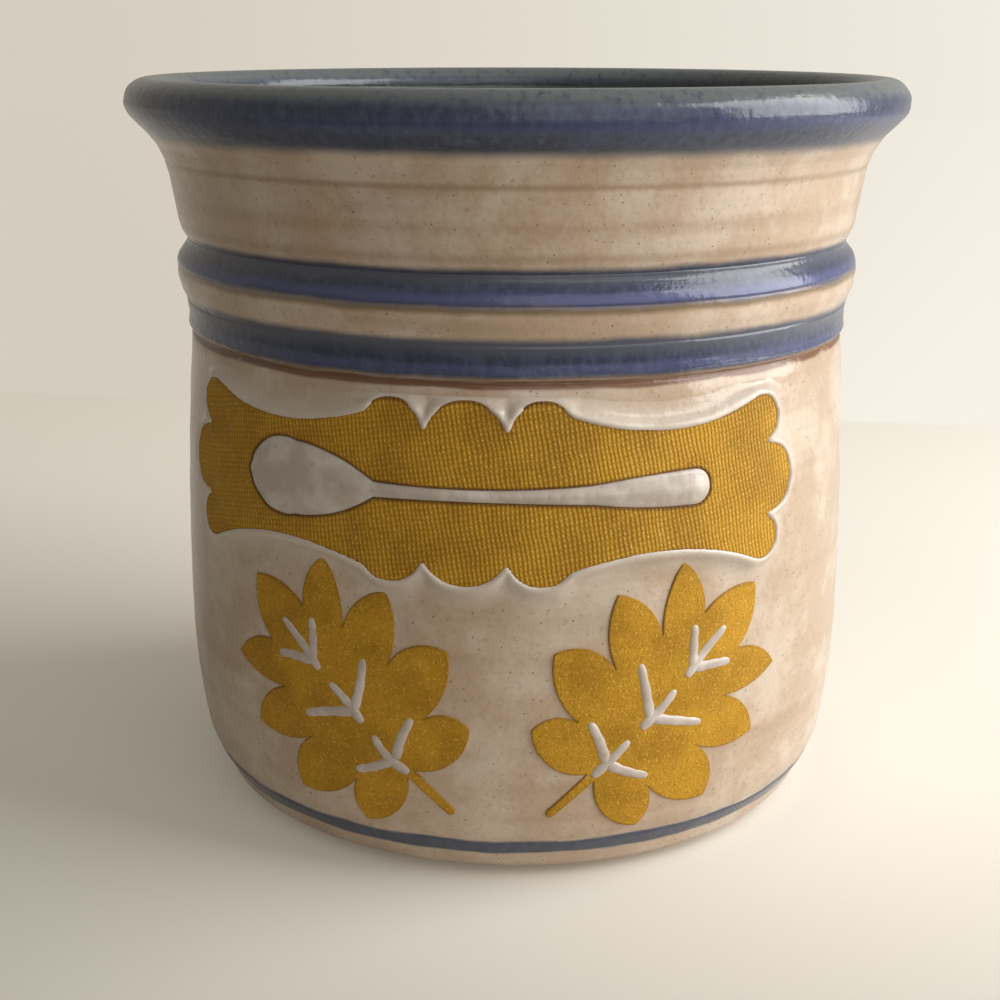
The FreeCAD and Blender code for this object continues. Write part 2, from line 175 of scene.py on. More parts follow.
class Shader:
    """A node tree that is written as expressions."""

    def __init__(self, tree: bpy.types.NodeTree) -> None:
        """Starts from an empty tree."""
        self.tree = tree
        self.tree.nodes.clear()

    def node(self, kind: str, settings: dict, inputs: dict) -> bpy.types.Node:
        """Adds a node.

        Args:
            kind: The node's type.
            settings: Its settings by name, set first.
            inputs: Values or fields for its sockets, by name or number.

        Returns:
            The new node.
        """
        node = self.tree.nodes.new(kind)
        for name, setting in settings.items():
            setattr(node, name, setting)
        for key, value in inputs.items():
            if isinstance(value, Field):
                self.tree.links.new(value.socket, node.inputs[key])
            else:
                node.inputs[key].default_value = value
        return node

    def field(self, kind: str, settings: dict, inputs: dict, output: Union[int, str] = 0) -> Field:
        """Adds a node and takes one of its outputs."""
        return Field(self, self.node(kind, settings, inputs).outputs[output])

    def math(self, operation: str, *values: Value) -> Field:
        """Adds a Math node."""
        return self.field("ShaderNodeMath", {"operation": operation}, dict(enumerate(values)))

    def spot(self) -> Field:
        """The point on the piece, in metres."""
        return self.field("ShaderNodeTexCoord", {}, {}, "Object")

    def parts(self, vector: Field) -> list[Field]:
        """A vector's three numbers."""
        node = self.node("ShaderNodeSeparateXYZ", {}, {"Vector": vector})
        return [Field(self, output) for output in node.outputs]

    def squeeze(self, vector: Field, factors: Triple) -> Field:
        """A vector with each number multiplied by its own factor."""
        return self.field("ShaderNodeVectorMath", {"operation": "MULTIPLY"}, {0: vector, 1: factors})

    def cloud(self, spot: Field, grain: Grain) -> Field:
        """Cloudy noise from 0 to 1.

        Args:
            spot: Where the noise is read.
            grain: How coarse it is.

        Returns:
            The noise.
        """
        place = self.squeeze(spot, grain.squeeze) if grain.squeeze else spot
        texture = {"Scale": 1 / grain.size, "Detail": grain.detail, "Roughness": grain.roughness}
        return self.field("ShaderNodeTexNoise", {}, {"Vector": place, **texture})

    def grains(self, vector: Field, pitch: float) -> tuple[Field, Field]:
        """Scattered grains.

        Args:
            vector: Where they are read.
            pitch: Their usual distance apart in metres.

        Returns:
            The distance from the nearest grain in pitches, and that grain's own number from 0 to 1.
        """
        node = self.node("ShaderNodeTexVoronoi", {}, {"Vector": vector, "Scale": 1 / pitch})
        color = Field(self, node.outputs["Color"])
        return Field(self, node.outputs["Distance"]), self.parts(color)[0]

    def mix(self, share: Value, first: Value, second: Value) -> Field:
        """The first colour, with a share of the second laid over it."""
        return self.field("ShaderNodeMix", {"data_type": "RGBA"}, {0: share, 6: first, 7: second}, 2)

    def seen(self) -> Field:
        """What a ray is for.

        Returns:
            1 where it is seen straight, less in a reflection, and 0 where it only lights the piece.
        """
        path = self.node("ShaderNodeLightPath", {}, {})
        straight, through, mirrored = [
            Field(self, path.outputs[f"Is {kind} Ray"]) for kind in ("Camera", "Transmission", "Glossy")
        ]
        return straight.at_least(through).at_least(mirrored * MIRRORED_SHARE)

    def bump(self, height: Field, distance: float, strength: float = 1.0) -> Field:
        """A normal from a height field whose 1 stands a given distance high."""
        inputs = {"Height": height, "Distance": distance, "Strength": strength}
        return self.field("ShaderNodeBump", {}, inputs)


def surface(name: str, dress: Callable[[Shader], dict]) -> bpy.types.Material:
    """A material with one surface shader.

    Args:
        name: The material's name.
        dress: Gives the surface shader's sockets for a shader.

    Returns:
        The material.
    """
    material = bpy.data.materials.new(name)
    material.use_nodes = True
    shader = Shader(material.node_tree)
    coat = shader.field("ShaderNodeBsdfPrincipled", {}, dress(shader))
    shader.node("ShaderNodeOutputMaterial", {}, {"Surface": coat})
    return material


# Finishes

class Ramp(NamedTuple):
    """Where a value turns from 0 to 1, and how strong the 1 is; it drops where low is above high."""

    low: float
    high: float
    strength: float = 1.0

    def of(self, value: Field) -> Field:
        """The ramp along a field."""
        return value.rise(self.low, self.high) * self.strength


class Line(NamedTuple):
    """A level line on the crock, in millimetres above the table, with half its width and its strength."""

    place: float
    half_width: float
    strength: float = 1.0

    def mask(self, height: Field) -> Field:
        """Its strength on the line and 0 beside it."""
        return height.line(self.place, self.half_width) * self.strength


class Zone(NamedTuple):
    """A level stretch of the crock, in millimetres above the table, with how far its two edges blur."""

    low: float
    high: float
    blur: float

    def mask(self, height: Field) -> Field:
        """1 inside the stretch and 0 outside it."""
        inside = height.rise(self.low - self.blur, self.low + self.blur)
        return inside * height.fall(self.high - self.blur, self.high + self.blur)


def strongest(marks: Iterable[Union[Line, Zone]], height: Field) -> Field:
    """The strongest of several lines or stretches at a height.

    Args:
        marks: The lines or stretches.
        height: The height in millimetres.

    Returns:
        Their largest mask.
    """
    return reduce(Field.at_least, [mark.mask(height) for mark in marks])


class Clouds(NamedTuple):
    """The uneven fields that a glaze is painted with."""

    brush: Field
    turned: Field
    rings: Field
    patches: Field
    fine: Field
    runs: Field
    peel: Field


class Slot(Enum):
    """The record's material slots."""

    CREAM = "cream_glaze"
    BLUE = "blue_glaze"
    PLATE = "ochre_plate"
    WHITE = "white_glaze"
    SLIP = "ochre_slip"


@dataclass(frozen=True)
class CrockGlaze:
    """The crock's fired coat: cream glaze, brushed blue, iron lines, and bare clay under the foot."""

    cream: Color = tone(189, 164, 139)
    pale_cream: Color = tone(207, 189, 168)
    warm_cream: Color = tone(158, 129, 101)
    pooled: Color = tone(214, 203, 190)
    iron: Color = tone(106, 62, 30)
    olive: Color = tone(112, 92, 58)
    speck: Color = tone(74, 56, 42)
    blue: Color = tone(70, 79, 106)
    deep_blue: Color = tone(48, 55, 78)
    violet_blue: Color = tone(76, 82, 124)
    grey_blue: Color = tone(84, 87, 98)
    thin_blue: Color = tone(96, 102, 104)
    lining: Color = tone(60, 70, 72)
    clay: Color = tone(186, 146, 110)

    blue_zones: tuple[Zone, ...] = (
        Zone(138.7, 170, 1.2), Zone(112.7, 119.2, 0.8), Zone(100.0, 107.0, 0.8), Zone(6.3, 9.7, 0.35),
    )
    iron_line: Zone = Zone(98.1, 99.5, 0.35)
    foot: Zone = Zone(-10, 1.7, 0.4)
    olive_line: Line = Line(112.2, 1.1, 0.75)
    throw_lines: tuple[Line, ...] = (Line(133.3, 1.0, 0.7), Line(126.2, 2.2, 0.3), Line(121.0, 1.6, 0.45))
    violet_lines: tuple[Line, ...] = (Line(114.2, 1.8), Line(101.6, 1.5, 0.6), Line(143.4, 2.2, 0.5))
    grey_lines: tuple[Line, ...] = (Line(117.6, 2.0), Line(105.6, 2.6), Line(139.0, 1.8))
    grey_foot: Ramp = Ramp(20, 10, 0.6)
    thin_top: Ramp = Ramp(146.2, 148.6)
    bore_radius: float = 66.4
    flare_height: float = 117.5
    flare_slope: float = 0.3
    lining_edge: Ramp = Ramp(0, 0.8)
    lining_top: Ramp = Ramp(148, 145.5)
    lining_floor: Ramp = Ramp(7, 8.5)

    brush_sway: float = 1.5
    brush_grain: Grain = Grain(14 * MM, detail=3, squeeze=(1, 1, 3))
    turned_grain: Grain = Grain(1.1 * MM, detail=3, roughness=0.6, squeeze=(0.05, 0.05, 1))
    ring_grain: Grain = Grain(4.5 * MM, squeeze=(0.06, 0.06, 1))
    patch_grain: Grain = Grain(15 * MM, detail=5, roughness=0.62)
    fine_grain: Grain = Grain(1.2 * MM, detail=3, roughness=0.65)
    run_grain: Grain = Grain(1.6 * MM, detail=3, squeeze=(1, 1, 0.5))
    peel_grain: Grain = Grain(2.1 * MM)
    speck_pitch: float = 1.4 * MM

    iron_gaps: Ramp = Ramp(0.3, 0.44, 0.9)
    pool_share: float = 0.75
    clay_rings: Ramp = Ramp(0.4, 0.7, 0.5)
    pale_patches: Ramp = Ramp(0.4, 0.66)
    warm_rings: Ramp = Ramp(0.48, 0.72, 0.22)
    warm_freckles: Ramp = Ramp(0.52, 0.74, 0.35)
    throw_gaps: Ramp = Ramp(0.1, 0.5)
    blue_runs: Ramp = Ramp(0.35, 0.7, 0.7)
    violet_rings: Ramp = Ramp(0.2, 0.6)
    grey_share: float = 0.85
    thin_runs: Ramp = Ramp(0.15, 0.5)
    thin_freckles: Ramp = Ramp(0.55, 0.75, 0.3)
    speck_core: float = 0.04
    speck_edge: float = 0.06
    speck_spread: float = 0.15
    speck_numbers: Ramp = Ramp(0.2, 0.7, 0.75)

    shine: float = 0.13
    patch_shine: float = 0.16
    bare_shine: float = 0.5
    turned_relief: float = 0.35
    peel_relief: float = 0.65
    fine_relief: float = 0.16
    relief_depth: float = 0.2 * MM

    def material(self) -> bpy.types.Material:
        """The glaze as a material."""
        return surface("crock_glaze", self.dress)

    def dress(self, shader: Shader) -> dict:
        """Paints the glaze by height, with brushed edges.

        Args:
            shader: The shader to write in.

        Returns:
            The surface shader's sockets.
        """
        spot = shader.spot()
        x, y, z = [part / MM for part in shader.parts(spot)]
        reach = (x * x + y * y) ** 0.5
        clouds = self.clouds(shader, spot)
        height = z + (clouds.brush - 0.5) * self.brush_sway

        cream = self.paint_cream(shader, spot, z, clouds)
        cream = shader.mix(self.iron_line.mask(height) * self.iron_gaps.of(clouds.brush), cream, self.iron)
        cream = shader.mix(self.olive_line.mask(height), cream, self.olive)
        pool = shader.field("ShaderNodeAttribute", {"attribute_name": "pool"}, {}, "Fac")
        cream = shader.mix(pool * self.pool_share, cream, self.pooled)

        blue_share = strongest(self.blue_zones, height)
        color = shader.mix(blue_share, cream, self.paint_blue(shader, height, clouds))
        bore = (z - self.flare_height).at_least(0) * self.flare_slope + self.bore_radius
        lining = self.lining_edge.of(bore - reach) * self.lining_top.of(z) * self.lining_floor.of(z)
        color = shader.mix(lining, color, self.lining)
        bare = self.foot.mask(height)
        clay = shader.mix(self.clay_rings.of(clouds.turned), self.clay, self.warm_cream)
        color = shader.mix(bare, color, clay)
        shine = clouds.patches * self.patch_shine + bare * self.bare_shine + self.shine
        relief = clouds.turned * self.turned_relief + clouds.peel * self.peel_relief
        relief = relief + clouds.fine * self.fine_relief
        return {"Base Color": color, "Roughness": shine, "Normal": shader.bump(relief, self.relief_depth)}

    def clouds(self, shader: Shader, spot: Field) -> Clouds:
        """The glaze's uneven fields.

        Args:
            shader: The shader to write in.
            spot: The point on the crock.

        Returns:
            The fields.
        """
        return Clouds(
            brush=shader.cloud(spot, self.brush_grain),
            turned=shader.cloud(spot, self.turned_grain),
            rings=shader.cloud(spot, self.ring_grain),
            patches=shader.cloud(spot, self.patch_grain),
            fine=shader.cloud(spot, self.fine_grain),
            runs=shader.cloud(spot, self.run_grain),
            peel=shader.cloud(spot, self.peel_grain),
        )

    def paint_cream(self, shader: Shader, spot: Field, z: Field, clouds: Clouds) -> Field:
        """The cream glaze: cloudy, freckled, and browner where the throwing rings made it thin.

        Args:
            shader: The shader to write in.
            spot: The point on the crock.
            z: Its height in millimetres.
            clouds: The glaze's uneven fields.

        Returns:
            The colour.
        """
        cream = shader.mix(self.pale_patches.of(clouds.patches), self.cream, self.pale_cream)
        cream = shader.mix(self.warm_rings.of(clouds.rings), cream, self.warm_cream)
        cream = shader.mix(self.warm_freckles.of(clouds.fine), cream, self.warm_cream)
        throw_lines = sum(line.mask(z) for line in self.throw_lines)
        cream = shader.mix(throw_lines * self.throw_gaps.of(clouds.fine), cream, self.warm_cream)
        return shader.mix(self.specks(shader, spot), cream, self.speck)

    def paint_blue(self, shader: Shader, height: Field, clouds: Clouds) -> Field:
        """The brushed blue: violet on the rounded crests, grey in the coves and towards the foot, and paler
        where it ran thin on the lip's top.

        Args:
            shader: The shader to write in.
            height: The height in millimetres, a little uneven.
            clouds: The glaze's uneven fields.

        Returns:
            The colour.
        """
        blue = shader.mix(self.blue_runs.of(clouds.runs), self.deep_blue, self.blue)
        thick = strongest(self.violet_lines, height)
        blue = shader.mix(thick * self.violet_rings.of(clouds.rings), blue, self.violet_blue)
        grey = strongest(self.grey_lines, height).at_least(self.grey_foot.of(height))
        blue = shader.mix(grey * self.grey_share, blue, self.grey_blue)
        blue = shader.mix(self.thin_top.of(height) * self.thin_runs.of(clouds.runs), blue, self.thin_blue)
        return shader.mix(self.thin_freckles.of(clouds.fine), blue, self.thin_blue)

    def specks(self, shader: Shader, spot: Field) -> Field:
        """Iron specks that came through the glaze.

        Args:
            shader: The shader to write in.
            spot: The point on the crock.

        Returns:
            The speck's strength on a speck, and 0 beside it.
        """
        distance, number = shader.grains(spot, self.speck_pitch)
        size = number * self.speck_spread + self.speck_edge
        return distance.fall(self.speck_core, size) * self.speck_numbers.of(number)


@dataclass(frozen=True)
class OchreClay:
    """Dry granular ochre with golden grains whose glints are painted in, and a painted shade line along its
    border; the plate's has the weave of the cloth that it was rolled on, with painted shade and highlights on
    its threads.
    """

    name: str
    woven: bool
    # How strong the painted shade line along the border is, where the glaze meets the ochre.
    edge_shade: float = 1.0
    ochre: Color = tone(196, 146, 34)
    deep_ochre: Color = tone(138, 96, 8)
    gold: Color = tone(234, 194, 104)
    # iron is the brown of that painted shade line along the border.
    iron: Color = tone(92, 54, 22)

    turn_radius: float = 71.4
    rib_pitch: float = 0.85
    weft_pitch: float = 0.95
    slant: float = 0.16
    pull: float = 1.6
    pull_grain: Grain = Grain(10 * MM)
    rib_share: float = 0.26
    weft_share: float = 0.12

    patch_grain: Grain = Grain(9 * MM, detail=3)
    grit_grain: Grain = Grain(0.55 * MM, detail=3, roughness=0.7)
    grain_pitch: float = 0.36 * MM
    deep_patches: Ramp = Ramp(0.35, 0.65, 0.45)
    deep_grit: Ramp = Ramp(0.48, 0.7, 0.6)
    # Gold specks: golden grains, partly their own colour and partly a painted glint.
    glint_numbers: Ramp = Ramp(0.66, 0.8)
    glint_size: Ramp = Ramp(0.5, 0.2)
    glint_gaps: Ramp = Ramp(0.6, 0.4)
    # Painted shade in the weave's valleys and painted highlights on its threads.
    weave_valley_shade: Ramp = Ramp(0.55, 0.1, 0.65)
    weave_top_highlight: Ramp = Ramp(0.65, 0.95, 0.3)
    # How much that painted shade line along the border varies.
    edge_shade_share: float = 0.4

    shine: float = 0.66
    glint_shine: float = 0.25
    mirror: float = 0.25
    grit_relief: float = 0.6
    woven_relief: float = 0.45
    relief_depth: float = 0.16 * MM

    def material(self) -> bpy.types.Material:
        """The ochre as a material."""
        return surface(self.name, self.dress)

    def dress(self, shader: Shader) -> dict:
        """Paints the grains with their painted glints, the weave with painted shade and highlights, and a
        painted shade line along the border.

        Args:
            shader: The shader to write in.

        Returns:
            The surface shader's sockets.
        """
        spot = shader.spot()
        patches = shader.cloud(spot, self.patch_grain)
        distance, number = shader.grains(spot, self.grain_pitch)
        grit = shader.cloud(spot, self.grit_grain)
        color = shader.mix(self.deep_patches.of(patches), self.ochre, self.deep_ochre)
        color = shader.mix(self.deep_grit.of(grit), color, self.deep_ochre)
        # Gold specks: golden grains, partly their own colour and partly a painted glint.
        glint = self.glint_numbers.of(number) * self.glint_size.of(distance) * self.glint_gaps.of(grit)
        color = shader.mix(glint, color, self.gold)
        relief = grit * self.grit_relief + distance * (1 - self.grit_relief)
        if self.woven:
            weave = self.weave(shader, spot)
            # Painted shade in the weave's valleys and painted highlights on its threads.
            color = shader.mix(self.weave_valley_shade.of(weave), color, self.deep_ochre)
            color = shader.mix(self.weave_top_highlight.of(weave), color, self.gold)
            relief = relief * self.woven_relief + weave
        # Painted shade: a dark line along the border where the glaze meets the ochre; stain is its uneven
        # strength.
        edge = shader.field("ShaderNodeAttribute", {"attribute_name": "edge"}, {}, "Fac")
        stain = patches * (1 - self.edge_shade_share) + self.edge_shade_share
        color = shader.mix(edge * stain * self.edge_shade, color, self.iron)
        return {
            "Base Color": color,
            "Roughness": self.shine - glint * self.glint_shine,
            "Specular IOR Level": self.mirror,
            "Normal": shader.bump(relief, self.relief_depth),
        }

    def weave(self, shader: Shader, spot: Field) -> Field:
        """The cloth's threads.

        Args:
            shader: The shader to write in.
            spot: The point on the plate.

        Returns:
            About 1 on top of a thread and 0 between threads.
        """
        x, y, z = [part / MM for part in shader.parts(spot)]
        pull = (shader.cloud(spot, self.pull_grain) - 0.5) * self.pull
        along = shader.math("ARCTAN2", x, 0 - y) * self.turn_radius + z * self.slant + pull
        ribs = (along * (FULL_TURN / self.rib_pitch)).sine()
        wefts = ((z - along * self.slant + pull) * (FULL_TURN / self.weft_pitch)).sine()
        return ribs * self.rib_share + ribs * wefts * self.weft_share + wefts * self.weft_share + 0.5


@dataclass(frozen=True)
class WhiteGlaze:
    """Thick white glaze in the spoon and in the leaves' veins."""

    white: Color = tone(188, 173, 160)
    milky: Color = tone(208, 197, 186)
    stain: Color = tone(160, 134, 104)
    pool_grain: Grain = Grain(6 * MM, detail=3)
    stain_grain: Grain = Grain(2.2 * MM)
    peel_grain: Grain = Grain(1.6 * MM)
    milky_pools: Ramp = Ramp(0.4, 0.65)
    stains: Ramp = Ramp(0.62, 0.8, 0.35)
    shine: float = 0.16
    pool_shine: float = 0.15
    relief_depth: float = 0.1 * MM
    relief_share: float = 0.5

    def material(self) -> bpy.types.Material:
        """The white glaze as a material."""
        return surface("white_glaze", self.dress)

    def dress(self, shader: Shader) -> dict:
        """Paints pooled white with faint stains.

        Args:
            shader: The shader to write in.

        Returns:
            The surface shader's sockets.
        """
        spot = shader.spot()
        pool = shader.cloud(spot, self.pool_grain)
        color = shader.mix(self.milky_pools.of(pool), self.white, self.milky)
        color = shader.mix(self.stains.of(shader.cloud(spot, self.stain_grain)), color, self.stain)
        peel = shader.cloud(spot, self.peel_grain)
        return {
            "Base Color": color,
            "Roughness": pool * self.pool_shine + self.shine,
            "Normal": shader.bump(peel, self.relief_depth, self.relief_share),
        }


@dataclass(frozen=True)
class Paper:
    """The plain pale sheet that the crock stands on; its far part is the backdrop, with painted shade on its
    left and painted light on its right, and its near part is painted darker nearest the camera and has a
    painted glow towards the back.
    """

    near: Color = tone(233, 229, 220)
    # The backdrop's colours: painted shade on the left, painted light on the right.
    shaded_far_left: Color = tone(212, 205, 191)
    lit_far_right: Color = tone(248, 242, 231)
    # A painted glow that lightens the sheet and its shadow towards the back; it lights nothing.
    glow: Color = tone(142, 137, 124)
    none: Color = tone(0, 0, 0)
    # Painted shade: the sheet darker nearest the camera.
    shaded_front: Color = tone(164, 158, 146)
    shaded_front_start: float = -0.3
    fold: float = 0.338
    fold_blur: float = 0.004
    light_turn: Ramp = Ramp(-0.45, 0.4)
    glow_start: float = -0.35
    fade_start: float = 0.38
    fade_end: float = 0.7

    def material(self) -> bpy.types.Material:
        """The sheet as a material."""
        return surface("pale_paper", self.dress)

    def dress(self, shader: Shader) -> dict:
        """Paints the near sheet, with painted shade nearest the camera and a painted glow towards the back,
        and the far backdrop, with painted shade on its left and painted light on its right.

        Args:
            shader: The shader to write in.

        Returns:
            The surface shader's sockets.
        """
        x, y, z = shader.parts(shader.spot())
        seen = shader.seen()
        reach = (x * x + y * y) ** 0.5
        beyond = y.rise(self.fold - self.fold_blur, self.fold + self.fold_blur)
        even = beyond.at_least(reach.rise(self.fade_start, self.fade_end)) * seen
        # The backdrop, with painted shade on its left and painted light on its right.
        far = shader.mix(self.toward_light(x / reach), self.shaded_far_left, self.lit_far_right)
        # Painted glow for the camera and reflections, growing towards the back.
        glow = shader.mix(seen * y.rise(self.glow_start, self.fold), self.none, self.glow)
        # Painted shade: the sheet darker nearest the camera.
        paper = shader.mix(y.rise(self.shaded_front_start, 0), self.shaded_front, self.near)
        return {
            "Base Color": shader.mix(even, paper, self.none),
            "Emission Color": shader.mix(even, glow, far),
            "Emission Strength": 1.0,
            "Roughness": 1.0,
            "Specular IOR Level": 0.0,
        }

    def toward_light(self, across: Field) -> Field:
        """How far a direction turns from the shaded left to the lit right."""
        return self.light_turn.of(across)


# Pieces

def bake(name: str, mesh: BMesh) -> bpy.types.Mesh:
    """Turns a mesh, which is used up, into an object's data.

    Args:
        name: The data's name.
        mesh: The mesh.

    Returns:
        The data.
    """
    data = bpy.data.meshes.new(name)
    mesh.to_mesh(data)
    mesh.free()
    return data


def put(name: str, data: bpy.types.ID) -> bpy.types.Object:
    """Puts a mesh, a curve, a light or a camera into the scene.

    Args:
        name: The object's name.
        data: What it shows.

    Returns:
        The object, at the origin.
    """
    thing = bpy.data.objects.new(name, data)
    bpy.context.scene.collection.objects.link(thing)
    return thing


def nearest_of(points: Sequence[Vector]) -> kdtree.KDTree:
    """A tree that finds the nearest of some points.

    Args:
        points: The points.

    Returns:
        The tree, which gives a point's number in the list.
    """
    tree = kdtree.KDTree(len(points))
    for number, point in enumerate(points):
        tree.insert(point, number)
    tree.balance()
    return tree


def show(name: str, mesh: BMesh, finish: bpy.types.Material, slot: Slot, *nodes: str) -> bpy.types.Object:
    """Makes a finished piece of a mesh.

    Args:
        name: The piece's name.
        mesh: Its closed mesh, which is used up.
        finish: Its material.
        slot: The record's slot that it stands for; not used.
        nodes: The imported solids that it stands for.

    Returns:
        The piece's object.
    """
    for face in mesh.faces:
        face.smooth = True
    for edge in mesh.edges:
        edge.smooth = edge.calc_face_angle(0) < SHARP_ANGLE
    data = bake(name, mesh)
    data.materials.append(finish)
    piece = put(name, data)
    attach(piece, "root")
    if nodes:
        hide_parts(*nodes)
    log.info("%s: %d faces", name, len(data.polygons))
    return piece


def weld(mesh: BMesh) -> None:
    """Merges doubles and turns every face outwards."""
    bmesh.ops.remove_doubles(mesh, verts=mesh.verts[:], dist=WELD)
    bmesh.ops.recalc_face_normals(mesh, faces=mesh.faces[:])


def chain(mesh: BMesh, points: Sequence[Vector], closed: bool = False) -> list[BMVert]:
    """Adds a string of straight edges.

    Args:
        mesh: The mesh to add to.
        points: The string's points in order.
        closed: Whether its end joins its start.

    Returns:
        The new vertices in order.
    """
    verts = [mesh.verts.new(point) for point in points]
    for start, end in zip(verts, verts[1:]):
        mesh.edges.new((start, end))
    if closed:
        mesh.edges.new((verts[-1], verts[0]))
    return verts


def walk(start: BMVert) -> list[Vector]:
    """Walks along a string of edges until it ends or comes round again.

    Args:
        start: The vertex where the walk starts.

    Returns:
        The points on the way.
    """
    points = [start.co.copy()]
    seen = {start}
    ahead = start
    while ahead:
        onward = [edge.other_vert(ahead) for edge in ahead.link_edges]
        ahead = next((vert for vert in onward if vert not in seen), None)
        if ahead:
            seen.add(ahead)
            points.append(ahead.co.copy())
    return points


@dataclass
class Throwing:
    """The slight unevenness of a pot that was thrown by hand."""

    oval: float = 0.22 * MM
    ripple: float = 0.07 * MM
    ripple_pitch: float = 3.1 * MM
    sway: float = 0.3 * MM
    height: float = 150 * MM
    oval_turn: float = 0.7
    drift_grain: float = 60 * MM
    drift: float = 0.25 * MM
    sway_power: int = 4

    def settle(self, mesh: BMesh) -> None:
        """Moves each vertex by what the potter's hands would have left there.

        Args:
            mesh: A mesh whose place is that of a perfectly round pot.
        """
        for vert in mesh.verts:
            out = Vector((vert.co.x, vert.co.y, 0))
            if out.length < WELD:
                continue
            angle = math.atan2(vert.co.y, vert.co.x)
            share = min(max(vert.co.z / self.height, 0), 1)
            offset = self.oval * share * math.cos(2 * (angle - self.oval_turn))
            offset += self.ripple * share * math.sin(FULL_TURN * vert.co.z / self.ripple_pitch + angle)
            spot = Vector((math.cos(angle), math.sin(angle), vert.co.z / self.drift_grain))
            offset += self.drift * share * noise.noise(spot)
            vert.co += out.normalized() * offset
            vert.co.z += self.sway * share ** self.sway_power * math.sin(angle + self.oval_turn)


@dataclass
class Wall:
    """The crock's outer wall: two arcs that meet at the belly, and its unrolled sheet."""

    belly_radius: float = 71.4 * MM
    belly_height: float = 38 * MM
    lower_radius: float = 150 * MM
    upper_radius: float = 700 * MM

    def arc(self, height: float) -> tuple[float, float]:
        """The arc at a height.

        Args:
            height: Height above the table.

        Returns:
            The distance of the arc's centre from the crock's axis, and the arc's radius.
        """
        radius = self.upper_radius if height > self.belly_height else self.lower_radius
        return self.belly_radius - radius, radius

    def radius(self, height: float) -> float:
        """The wall's distance from the axis at a height."""
        center, radius = self.arc(height)
        return center + math.sqrt(radius ** 2 - (height - self.belly_height) ** 2)

    def wrap(self, flat: Vector) -> Vector:
        """Bends a point of the unrolled wall round the crock.

        Args:
            flat: Distance along the wall, height up it and distance off it.

        Returns:
            The point on the crock.
        """
        center, radius = self.arc(flat.y)
        up = (flat.y - self.belly_height) / radius
        reach = center + (radius + flat.z) * math.sqrt(1 - up ** 2)
        angle = flat.x / self.belly_radius
        height = self.belly_height + (radius + flat.z) * up
        return Vector((reach * math.sin(angle), -reach * math.cos(angle), height))

    def unroll(self, spot: Vector) -> Vector:
        """Lays a point on the crock out on the unrolled wall.

        Args:
            spot: The point on the crock.

        Returns:
            Distance along the wall, height up it and distance off it.
        """
        center, radius = self.arc(spot.z)
        out = math.hypot(spot.x, spot.y) - center
        lift = spot.z - self.belly_height
        distance = math.hypot(out, lift)
        along = math.atan2(spot.x, -spot.y) * self.belly_radius
        return Vector((along, self.belly_height + radius * lift / distance, distance - radius))


class Corner(NamedTuple):
    """A corner of the pot's outline, in millimetres, and how far along its sides it is rounded."""

    radius: float
    height: float
    round: float


FOOT = (
    Corner(0, 2.4, 0), Corner(49.8, 2.4, 0.9), Corner(51.0, 0, 0.6), Corner(58.3, 0, 0.5),
    Corner(59.0, 0.8, 0.4), Corner(64.5, 2.5, 1.4), Corner(67.8, 9.6, 1.2), Corner(69.1, 12.0, 1.2),
)
NECK = (
    Corner(68.2, 99.2, 0.3), Corner(69.2, 100.2, 0.45), Corner(68.8, 104.2, 2.0), Corner(71.1, 109.8, 1.9),
    Corner(71.1, 114.0, 1.6), Corner(68.3, 117.5, 1.0), Corner(70.2, 120.5, 1.6),
    Corner(72.2, 133.5, 2.6), Corner(74.2, 137.6, 2.0),
)
INSIDE = (
    Corner(64.0, 117.5, 9.0), Corner(64.0, 21.0, 8.0), Corner(52.0, 9.0, 6.0), Corner(0, 9.0, 0),
)


